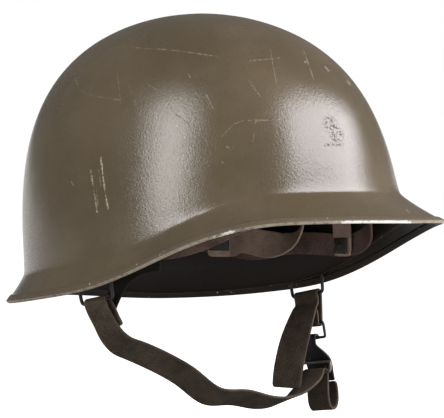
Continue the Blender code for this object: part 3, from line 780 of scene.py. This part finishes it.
@dataclass(frozen=True)
class Metal:
    """Plated or blackened steel fitting, rubbed on its edges."""

    name: str
    coat: tuple
    bare: tuple
    roughness: float
    metallic: float
    wear: float

    def make(self) -> bpy.types.Material:
        """The fitting's material."""
        graph = Graph(self.name)
        patches = graph.noise(320.0, 4.0, 0.65)
        worn = (patches + self.wear * 0.2).ramp(0.62, 0.74)
        colour = graph.mix(worn, self.coat, self.bare)
        normal = graph.bump(graph.noise(1400.0, 2.0), 0.00004, 0.5)
        metal = worn * (0.9 - self.metallic) + self.metallic
        return graph.finish(Base_Color=colour, Roughness=self.roughness + (patches - 0.5) * 0.2,
                            Metallic=metal, Normal=normal)


@dataclass(frozen=True)
class StageWhite:
    """Pale floor with a painted shadow pool round the helmet, brightening and glowing away from it."""

    shadow_pool: tuple = (0.18, 0.18, 0.18)
    wide: tuple = (0.88, 0.88, 0.88)
    near: tuple = (0.0, 0.0, 0.0)
    far: tuple = (0.95, 0.95, 0.95)
    start: float = 0.25
    end: float = 0.80

    def make(self) -> bpy.types.Material:
        """The floor's material."""
        graph = Graph("stage_white")
        away = graph.vector("LENGTH", graph.place).out("Value")
        # Round the helmet the floor is painted dark, a painted shadow pool; further out it is pale and
        # glows as painted light.
        share = away.ramp(self.start, self.end)
        glow = graph.mix(share, self.near, self.far)
        return graph.finish(Base_Color=graph.mix(share, self.shadow_pool, self.wide), Roughness=0.9,
                            Emission_Color=glow, Emission_Strength=1.0)


# Straps


class Station(NamedTuple):
    """A place on a strap's middle line with the direction and size of its width."""

    point: Vector
    across: Vector
    width: float


@dataclass
class Route:
    """Middle line of a strap as its CAD node has it."""

    node: str
    closed: bool = False
    stations: list[Station] = field(default_factory=list)
    thickness: float = 0.0

    def __post_init__(self) -> None:
        """Read the stations off the rings of four corners that follow each other."""
        shape = bmesh.new()
        shape.from_mesh(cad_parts[self.node].data)
        bmesh.ops.remove_doubles(shape, verts=shape.verts, dist=MERGE)
        sharp: dict = {}
        for edge in shape.edges:
            if edge.calc_face_angle(0.0) > SHARP:
                for one, other in (edge.verts, reversed(edge.verts)):
                    sharp.setdefault(one, []).append(other)
        rings = self._around(sharp) if self.closed else self._onward(sharp)
        self._read(rings)
        shape.free()

    @staticmethod
    def _onward(sharp: dict) -> list[list]:
        """Rings of an open strap from one end to the other."""
        corners = [v for v in sharp if len(sharp[v]) == RING - 1]
        end = [corners[0]]
        for corner in end:
            end += [v for v in sharp[corner] if v in corners and v not in end]
        rings = [end]
        seen = set(end)
        while len(rings[-1]) == RING:
            onward = {e.other_vert(v) for v in rings[-1] for e in v.link_edges} - seen
            seen |= onward
            rings.append(list(onward))
        return rings[:-1]

    @staticmethod
    def _around(sharp: dict) -> list[list]:
        """Rings of a closed band, from its four long edges begun side by side."""
        left = set(sharp)
        loops: list[list] = []
        while left:
            start = min(left, key=lambda v: tuple(v.co)) if not loops else \
                min(left, key=lambda v: (v.co - loops[0][0].co).length)
            loop = [start, sharp[start][0]]
            while True:
                onward = [v for v in sharp[loop[-1]] if v is not loop[-2]]
                if len(onward) != 1 or onward[0] is start:
                    break
                loop.append(onward[0])
            if loops and (loop[1].co - loops[0][1].co).length > (loop[-1].co - loops[0][1].co).length:
                loop = [loop[0]] + loop[:0:-1]
            left -= set(loop)
            loops.append(loop)
        return [list(ring) for ring in zip(*loops)]

    def _read(self, rings: list[list]) -> None:
        """Make stations of rings of four corners, kept in one order along the strap."""
        places = [corner.co for corner in rings[0]]
        first = places[0]
        mate, *far = sorted(places[1:], key=lambda place: (place - first).length)
        order = [first, mate] + sorted(far, key=lambda place: (place - mate).length)
        gaps = []
        for ring in rings:
            places = [corner.co for corner in ring]
            order = list(min(permutations(places), key=lambda turned: sum(
                (new - old).length for new, old in zip(turned, order))))
            one = (order[0] + order[1]) / 2
            other = (order[2] + order[3]) / 2
            span = other - one
            self.stations.append(Station((one + other) / 2, span.normalized(), span.length))
            gaps.append((order[0] - order[1]).length)
        self.thickness = sorted(gaps)[len(gaps) // 2]


@dataclass
class Strap:
    """A flat woven strap along a CAD node's route."""

    node: str
    name: str
    slot: str
    material: bpy.types.Material
    closed: bool = False
    columns: int = 4
    levels: int = 2
    edge_share: float = 0.3

    def build(self) -> bpy.types.Object:
        """Shape a grid along the route, give it its wall and soft edges."""
        route = Route(self.node, self.closed)
        stations = route.stations
        rows = len(stations) + (1 if self.closed else 0)
        deselect()
        bpy.ops.mesh.primitive_grid_add(x_subdivisions=self.columns, y_subdivisions=rows - 1, size=1.0,
                                        calc_uvs=True)
        piece = bpy.context.object
        piece.name = self.name
        mesh = piece.data
        mesh.name = self.name
        self.lay(mesh, [stations[row % len(stations)] for row in range(rows)])
        if self.closed:
            activate(piece)
            bpy.ops.object.mode_set(mode="EDIT")
            bpy.ops.mesh.select_all(action="SELECT")
            bpy.ops.mesh.remove_doubles(threshold=MERGE)
            bpy.ops.object.mode_set(mode="OBJECT")
        subdivide(piece, self.levels)
        apply_modifier(piece, "SOLIDIFY", thickness=route.thickness, offset=0.0, use_even_offset=True)
        bevel(piece, route.thickness * self.edge_share)
        mesh.shade_smooth()
        return register(piece, self.material, self.slot, self.node)

    def lay(self, mesh: bpy.types.Mesh, stations: Sequence[Station]) -> None:
        """Place a grid's corners and its UV, which runs along and across in metres.

        Args:
            mesh: the grid, with a row of corners for each station.
            stations: the strap's stations; a closed strap's first comes again at the end.
        """
        stride = self.columns + 1
        lengths = [0.0]
        for before, after in zip(stations, stations[1:]):
            lengths.append(lengths[-1] + (after.point - before.point).length)
        for row, station in enumerate(stations):
            for column in range(stride):
                share = column / self.columns - 0.5
                place = station.point + station.across * station.width * share
                mesh.vertices[row * stride + column].co = place
        for loop, cell in zip(mesh.loops, mesh.uv_layers["UVMap"].data):
            row, column = divmod(loop.vertex_index, stride)
            share = column / self.columns - 0.5
            cell.uv = (lengths[row], stations[row].width * share)


# Sub-assemblies


@dataclass
class Shell:
    """Steel shell with the strip round its edge."""

    levels: int = 2

    def build(self) -> None:
        """Round the copies of both nodes and dress them."""
        low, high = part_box("rim_band")
        centre = (low + high) / 2
        skin = copy_of("steel_shell", "shell_skin")
        subdivide(skin, self.levels)
        mark_inner(skin, "inner", centre)
        bright = PHOTO_VIEW.strokes(BRIGHT_SCRATCHES)
        dull = PHOTO_VIEW.strokes(DULL_SCRATCHES)
        register(skin, SteelPaint(bright=bright, dull=dull).make(), "shell_paint", "steel_shell")
        trim = copy_of("rim_band", "rim_trim")
        subdivide(trim, self.levels)
        mark_inner(trim, "inner", centre)
        mark_lip(trim, "lip", centre)
        register(trim, WornRim().make(), "rim_edge", "rim_band")


@dataclass
class Liner:
    """Fibre liner with its suspension and the plates that hold it."""

    levels: int = 2
    edge_reach: float = 0.0022
    plates: int = 6
    rivet_radius: float = 0.0021
    rivet_height: float = 0.0008
    plate_bevel: float = 0.0004
    rivet_sides: int = 20

    def build(self, band: bpy.types.Material, crown: bpy.types.Material,
              plate: bpy.types.Material) -> None:
        """Make the liner, band, crown straps and plates.

        Args:
            band: finish of the suspension's band.
            crown: finish of the crown straps' webbing.
            plate: finish of the plates and rivets.
        """
        skin = copy_of("liner", "liner_skin")
        corners = sharp_places(skin)
        subdivide(skin, self.levels)
        mark_distance(skin, "edge", corners, self.edge_reach)
        register(skin, LinerShell().make(), "liner_black", "liner")
        Strap("suspension_band", "band_webbing", "band_webbing", band, closed=True).build()
        for number in (1, 2, 3):
            node = "crown_strap_%d" % number
            Strap(node, "crown_webbing_%d" % number, "band_webbing", crown).build()
        for number in range(1, self.plates + 1):
            self.make_plate(number, plate)

    def make_plate(self, number: int, material: bpy.types.Material) -> None:
        """One pressed plate with the head of its rivet."""
        node = "washer_%d" % number
        piece = copy_of(node, "rivet_plate_%d" % number)
        low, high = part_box(node)
        centre = (low + high) / 2
        inward = -max(piece.data.polygons, key=lambda face: face.area).normal
        if inward.dot(Vector((centre.x, centre.y, 0.0))) > 0:
            inward = -inward
        bevel(piece, self.plate_bevel, PLATE_SHARP)
        deselect()
        bpy.ops.mesh.primitive_uv_sphere_add(segments=self.rivet_sides, ring_count=self.rivet_sides // 2,
                                             radius=self.rivet_radius)
        head = bpy.context.object
        turn = inward.to_track_quat("Z", "Y").to_matrix().to_4x4()
        flat = Matrix.Diagonal((1.0, 1.0, self.rivet_height / self.rivet_radius, 1.0))
        seat = Matrix.Translation(centre + inward * self.rivet_height)
        head.data.transform(seat @ turn @ flat)
        head.data.shade_smooth()
        piece.data.shade_smooth()
        deselect()
        head.select_set(True)
        piece.select_set(True)
        bpy.context.view_layer.objects.active = piece
        bpy.ops.object.join()
        register(piece, material, "worn_metal", node)


@dataclass
class Fittings:
    """Bails, brackets, wire link, hook and slider."""

    levels: int = 2
    hook_bevel: float = 0.00035

    def build(self, black: bpy.types.Material, worn: bpy.types.Material) -> None:
        """Round each wire and plate and dress it.

        Args:
            black: finish of the blackened steel.
            worn: finish of the worn plated steel.
        """
        for side in Side:
            name = side.value
            self.round_wire("bail_" + name, "bail_wire_" + name, "black_metal", black)
            self.break_edges("bail_bracket_" + name, "bail_leaf_" + name, self.hook_bevel / 2, black)
        self.round_wire("wire_link", "link_wire", "black_metal", black)
        self.round_wire("slider", "slider_wire", "worn_metal", worn)
        self.break_edges("release_hook", "hook_plate", self.hook_bevel, black)

    def round_wire(self, node: str, name: str, slot: str, material: bpy.types.Material) -> None:
        """A fitting of bent wire, rounded."""
        piece = copy_of(node, name)
        subdivide(piece, self.levels)
        register(piece, material, slot, node)

    @staticmethod
    def break_edges(node: str, name: str, width: float, material: bpy.types.Material) -> None:
        """A fitting of black plate with its edges broken."""
        piece = copy_of(node, name)
        bevel(piece, width)
        register(piece, material, "black_metal", node)


@dataclass
class Straps:
    """Chin strap, short strap and tie strap."""

    def build(self, web: bpy.types.Material, tie: bpy.types.Material) -> None:
        """Make the three straps.

        Args:
            web: finish of the olive webbing.
            tie: finish of the narrow strap's nearly black webbing.
        """
        Strap("chin_strap", "chin_webbing", "strap_webbing", web, levels=1, columns=6).build()
        Strap("short_strap", "short_webbing", "strap_webbing", web, levels=1, columns=6).build()
        Strap("tie_strap", "tie_webbing", "strap_webbing", tie).build()


# Studio


@dataclass
class Softbox:
    """An oblong area light that faces the helmet from an azimuth and elevation."""

    name: str
    azimuth: float
    elevation: float
    distance: float
    shift: tuple
    width: float
    height: float
    roll: float
    power: float
    colour: tuple = (1.0, 0.98, 0.97)
    target: tuple = (0.0, 0.0, -0.05)

    def build(self) -> None:
        """Add the light."""
        back, right, up = sight_axes(self.azimuth, self.elevation)
        place = Vector(self.target) + back * self.distance + right * self.shift[0] + up * self.shift[1]
        deselect()
        bpy.ops.object.light_add(type="AREA", location=place)
        lamp = bpy.context.object
        lamp.name = self.name
        lamp.data.shape = "RECTANGLE"
        lamp.data.size = self.width
        lamp.data.size_y = self.height
        lamp.data.energy = self.power
        lamp.data.color = self.colour
        axes = Matrix((right, up, back)).transposed()
        lamp.rotation_euler = (axes @ Matrix.Rotation(math.radians(self.roll), 3, "Z")).to_euler()


@dataclass
class Studio:
    """Camera, floor, surroundings and lights."""

    view: View = PHOTO_VIEW
    clip_end: float = 100.0
    floor_height: float = -0.262
    floor_size: float = 40.0
    horizon: tuple = (1.0, 1.0, 1.0)
    sky: tuple = (0.17, 0.17, 0.175)
    horizon_low: float = 0.08
    horizon_high: float = 0.105

    def build(self) -> None:
        """Add all of the studio."""
        self.make_camera()
        self.make_floor()
        self.make_world()
        for box in SOFTBOXES:
            box.build()

    def make_camera(self) -> None:
        """A long lens a little below the level of the rim."""
        view = self.view
        back, right, up = view.axes()
        deselect()
        bpy.ops.object.camera_add(location=Vector(view.middle) + back * view.distance)
        camera = bpy.context.object
        camera.name = "camera"
        camera.data.lens = view.lens
        camera.data.clip_end = self.clip_end
        look = -back + right * view.right_turn - up * view.down_turn
        camera.rotation_euler = look.to_track_quat("-Z", "Y").to_euler()
        bpy.context.scene.camera = camera

    def make_floor(self) -> None:
        """A wide pale floor under the helmet."""
        deselect()
        bpy.ops.mesh.primitive_plane_add(size=self.floor_size, location=(0, 0, self.floor_height))
        floor = bpy.context.object
        floor.name = "stage_floor"
        floor.data.materials.append(StageWhite().make())

    def make_world(self) -> None:
        """White at the horizon and dimmer overhead."""
        world = bpy.data.worlds.new("studio")
        world.use_nodes = True
        bpy.context.scene.world = world
        tree = world.node_tree
        shade = tree.nodes["Background"]
        spot = tree.nodes.new("ShaderNodeTexCoord")
        parts = tree.nodes.new("ShaderNodeSeparateXYZ")
        step = tree.nodes.new("ShaderNodeMapRange")
        step.interpolation_type = "SMOOTHSTEP"
        step.inputs["From Min"].default_value = self.horizon_low
        step.inputs["From Max"].default_value = self.horizon_high
        blend = tree.nodes.new("ShaderNodeMix")
        blend.data_type = "RGBA"
        blend.inputs[6].default_value = (*self.horizon, 1.0)
        blend.inputs[7].default_value = (*self.sky, 1.0)
        tree.links.new(spot.outputs["Generated"], parts.inputs[0])
        tree.links.new(parts.outputs["Z"], step.inputs["Value"])
        tree.links.new(step.outputs["Result"], blend.inputs["Factor"])
        tree.links.new(blend.outputs[2], shade.inputs["Color"])


BRIGHT_SCRATCHES = (
    Scratch((Pixel(101, 157), Pixel(103, 175), Pixel(105, 192), Pixel(108, 209)), 0.8, 0.75),
    Scratch((Pixel(99, 170), Pixel(101, 186)), 0.6, 0.50),
    Scratch((Pixel(91, 170), Pixel(93, 186), Pixel(97, 212)), 0.6, 0.55),
    Scratch((Pixel(96, 190), Pixel(98, 206)), 0.6, 0.30),
    Scratch((Pixel(72, 182), Pixel(73, 186)), 0.8, 0.45),
    Scratch((Pixel(131, 48), Pixel(170, 50)), 0.5, 0.20),
    Scratch((Pixel(170, 50), Pixel(218, 56)), 0.5, 0.25),
    Scratch((Pixel(74, 75), Pixel(80, 90), Pixel(93, 96), Pixel(119, 100)), 0.5, 0.20),
    Scratch((Pixel(117, 70), Pixel(121, 103)), 0.5, 0.15),
    Scratch((Pixel(125, 75), Pixel(140, 115)), 0.5, 0.15),
    Scratch((Pixel(146, 83), Pixel(157, 90)), 0.5, 0.15),
    Scratch((Pixel(222, 136.8), Pixel(234, 124), Pixel(243, 121)), 0.6, 0.25),
    Scratch((Pixel(243, 121), Pixel(280, 120)), 0.5, 0.20),
    Scratch((Pixel(256, 120), Pixel(253, 142)), 0.5, 0.20),
    Scratch((Pixel(207, 95), Pixel(213, 109)), 0.7, 0.20),
    Scratch((Pixel(206, 140), Pixel(211, 155)), 0.5, 0.15),
    Scratch((Pixel(250, 61), Pixel(279, 58)), 0.5, 0.20),
    Scratch((Pixel(270, 50), Pixel(277, 85)), 0.5, 0.20),
    Scratch((Pixel(304, 51), Pixel(314, 80)), 0.5, 0.20),
    Scratch((Pixel(305, 62), Pixel(308, 63)), 1.0, 0.30),
    Scratch((Pixel(325, 67), Pixel(328, 71)), 1.0, 0.30),
    Scratch((Pixel(347, 81), Pixel(350, 84)), 1.0, 0.30),
    Scratch((Pixel(249, 81), Pixel(260, 96)), 1.1, 0.20),
    Scratch((Pixel(227, 147), Pixel(229, 148)), 0.8, 0.30),
    Scratch((Pixel(222, 162), Pixel(224, 164)), 0.8, 0.25),
    Scratch((Pixel(406, 210), Pixel(409, 212)), 0.9, 0.30),
    Scratch((Pixel(150, 118), Pixel(152, 120)), 0.6, 0.20),
    Scratch((Pixel(188, 75), Pixel(190, 77)), 0.8, 0.20),
    Scratch((Pixel(120, 180), Pixel(121, 184)), 0.5, 0.20),
)
DULL_SCRATCHES = (
    Scratch((Pixel(166, 102), Pixel(176, 114), Pixel(190, 125)), 0.6, 0.75),
    Scratch((Pixel(329, 122), Pixel(337, 136.5)), 8.0, 0.75),
    Scratch((Pixel(326, 144.5), Pixel(342.5, 145)), 2.2, 0.90),
    Scratch((Pixel(208, 141), Pixel(216, 149)), 0.8, 0.40),
    Scratch((Pixel(230, 150), Pixel(236, 146)), 0.8, 0.40),
    Scratch((Pixel(205, 97), Pixel(210, 108)), 1.0, 0.45),
)
SOFTBOXES = (
    Softbox("softbox_front", azimuth=24.0, elevation=34.0, distance=1.6, shift=(-0.122, -0.045),
            width=1.95, height=1.04, roll=-25.0, power=61.8, colour=(1.0, 0.98, 1.03)),
    Softbox("softbox_side", azimuth=-113.0, elevation=38.0, distance=1.5, shift=(0.25, -0.15),
            width=0.50, height=1.15, roll=30.0, power=16.5),
)


STRAP_WEB = Webbing("strap_webbing", thread=(0.110, 0.084, 0.058), shade=(0.024, 0.018, 0.012),
                    selvedge=(0.108, 0.085, 0.060), width=0.0172)
BAND_WEB = Webbing("band_webbing", thread=(0.180, 0.115, 0.092), shade=(0.060, 0.036, 0.030),
                   selvedge=(0.120, 0.076, 0.062), width=0.0165, weave=Weave.COARSE)
CROWN_WEB = Webbing("crown_webbing", thread=(0.470, 0.345, 0.265), shade=(0.220, 0.150, 0.115),
                    selvedge=(0.300, 0.215, 0.165), width=0.0180, weave=Weave.COARSE)
TIE_WEB = Webbing("tie_webbing", thread=(0.022, 0.017, 0.012), shade=(0.006, 0.005, 0.004),
                  selvedge=(0.028, 0.022, 0.016), width=0.0095)
BLACK_METAL = Metal("black_metal", coat=(0.012, 0.010, 0.009), bare=(0.220, 0.200, 0.180),
                    roughness=0.48, metallic=0.20, wear=0.1)
PLATE_METAL = Metal("plate_metal", coat=(0.022, 0.017, 0.013), bare=(0.300, 0.270, 0.230),
                    roughness=0.50, metallic=0.20, wear=0.1)
WORN_METAL = Metal("worn_metal", coat=(0.170, 0.150, 0.125), bare=(0.420, 0.390, 0.340),
                   roughness=0.42, metallic=0.60, wear=0.2)


def main() -> None:
    """Build the studio and every sub-assembly."""
    logging.basicConfig(level=logging.INFO, format="%(name)s: %(message)s")
    bpy.context.scene.view_settings.view_transform = "Standard"
    Studio().build()
    strap_web = STRAP_WEB.make()
    band_web = BAND_WEB.make()
    crown_web = CROWN_WEB.make()
    tie_web = TIE_WEB.make()
    black = BLACK_METAL.make()
    plate = PLATE_METAL.make()
    worn = WORN_METAL.make()
    Shell().build()
    Liner().build(band_web, crown_web, plate)
    Fittings().build(black, worn)
    Straps().build(strap_web, tie_web)
    deselect()


if __name__ == "__main__":
    main()
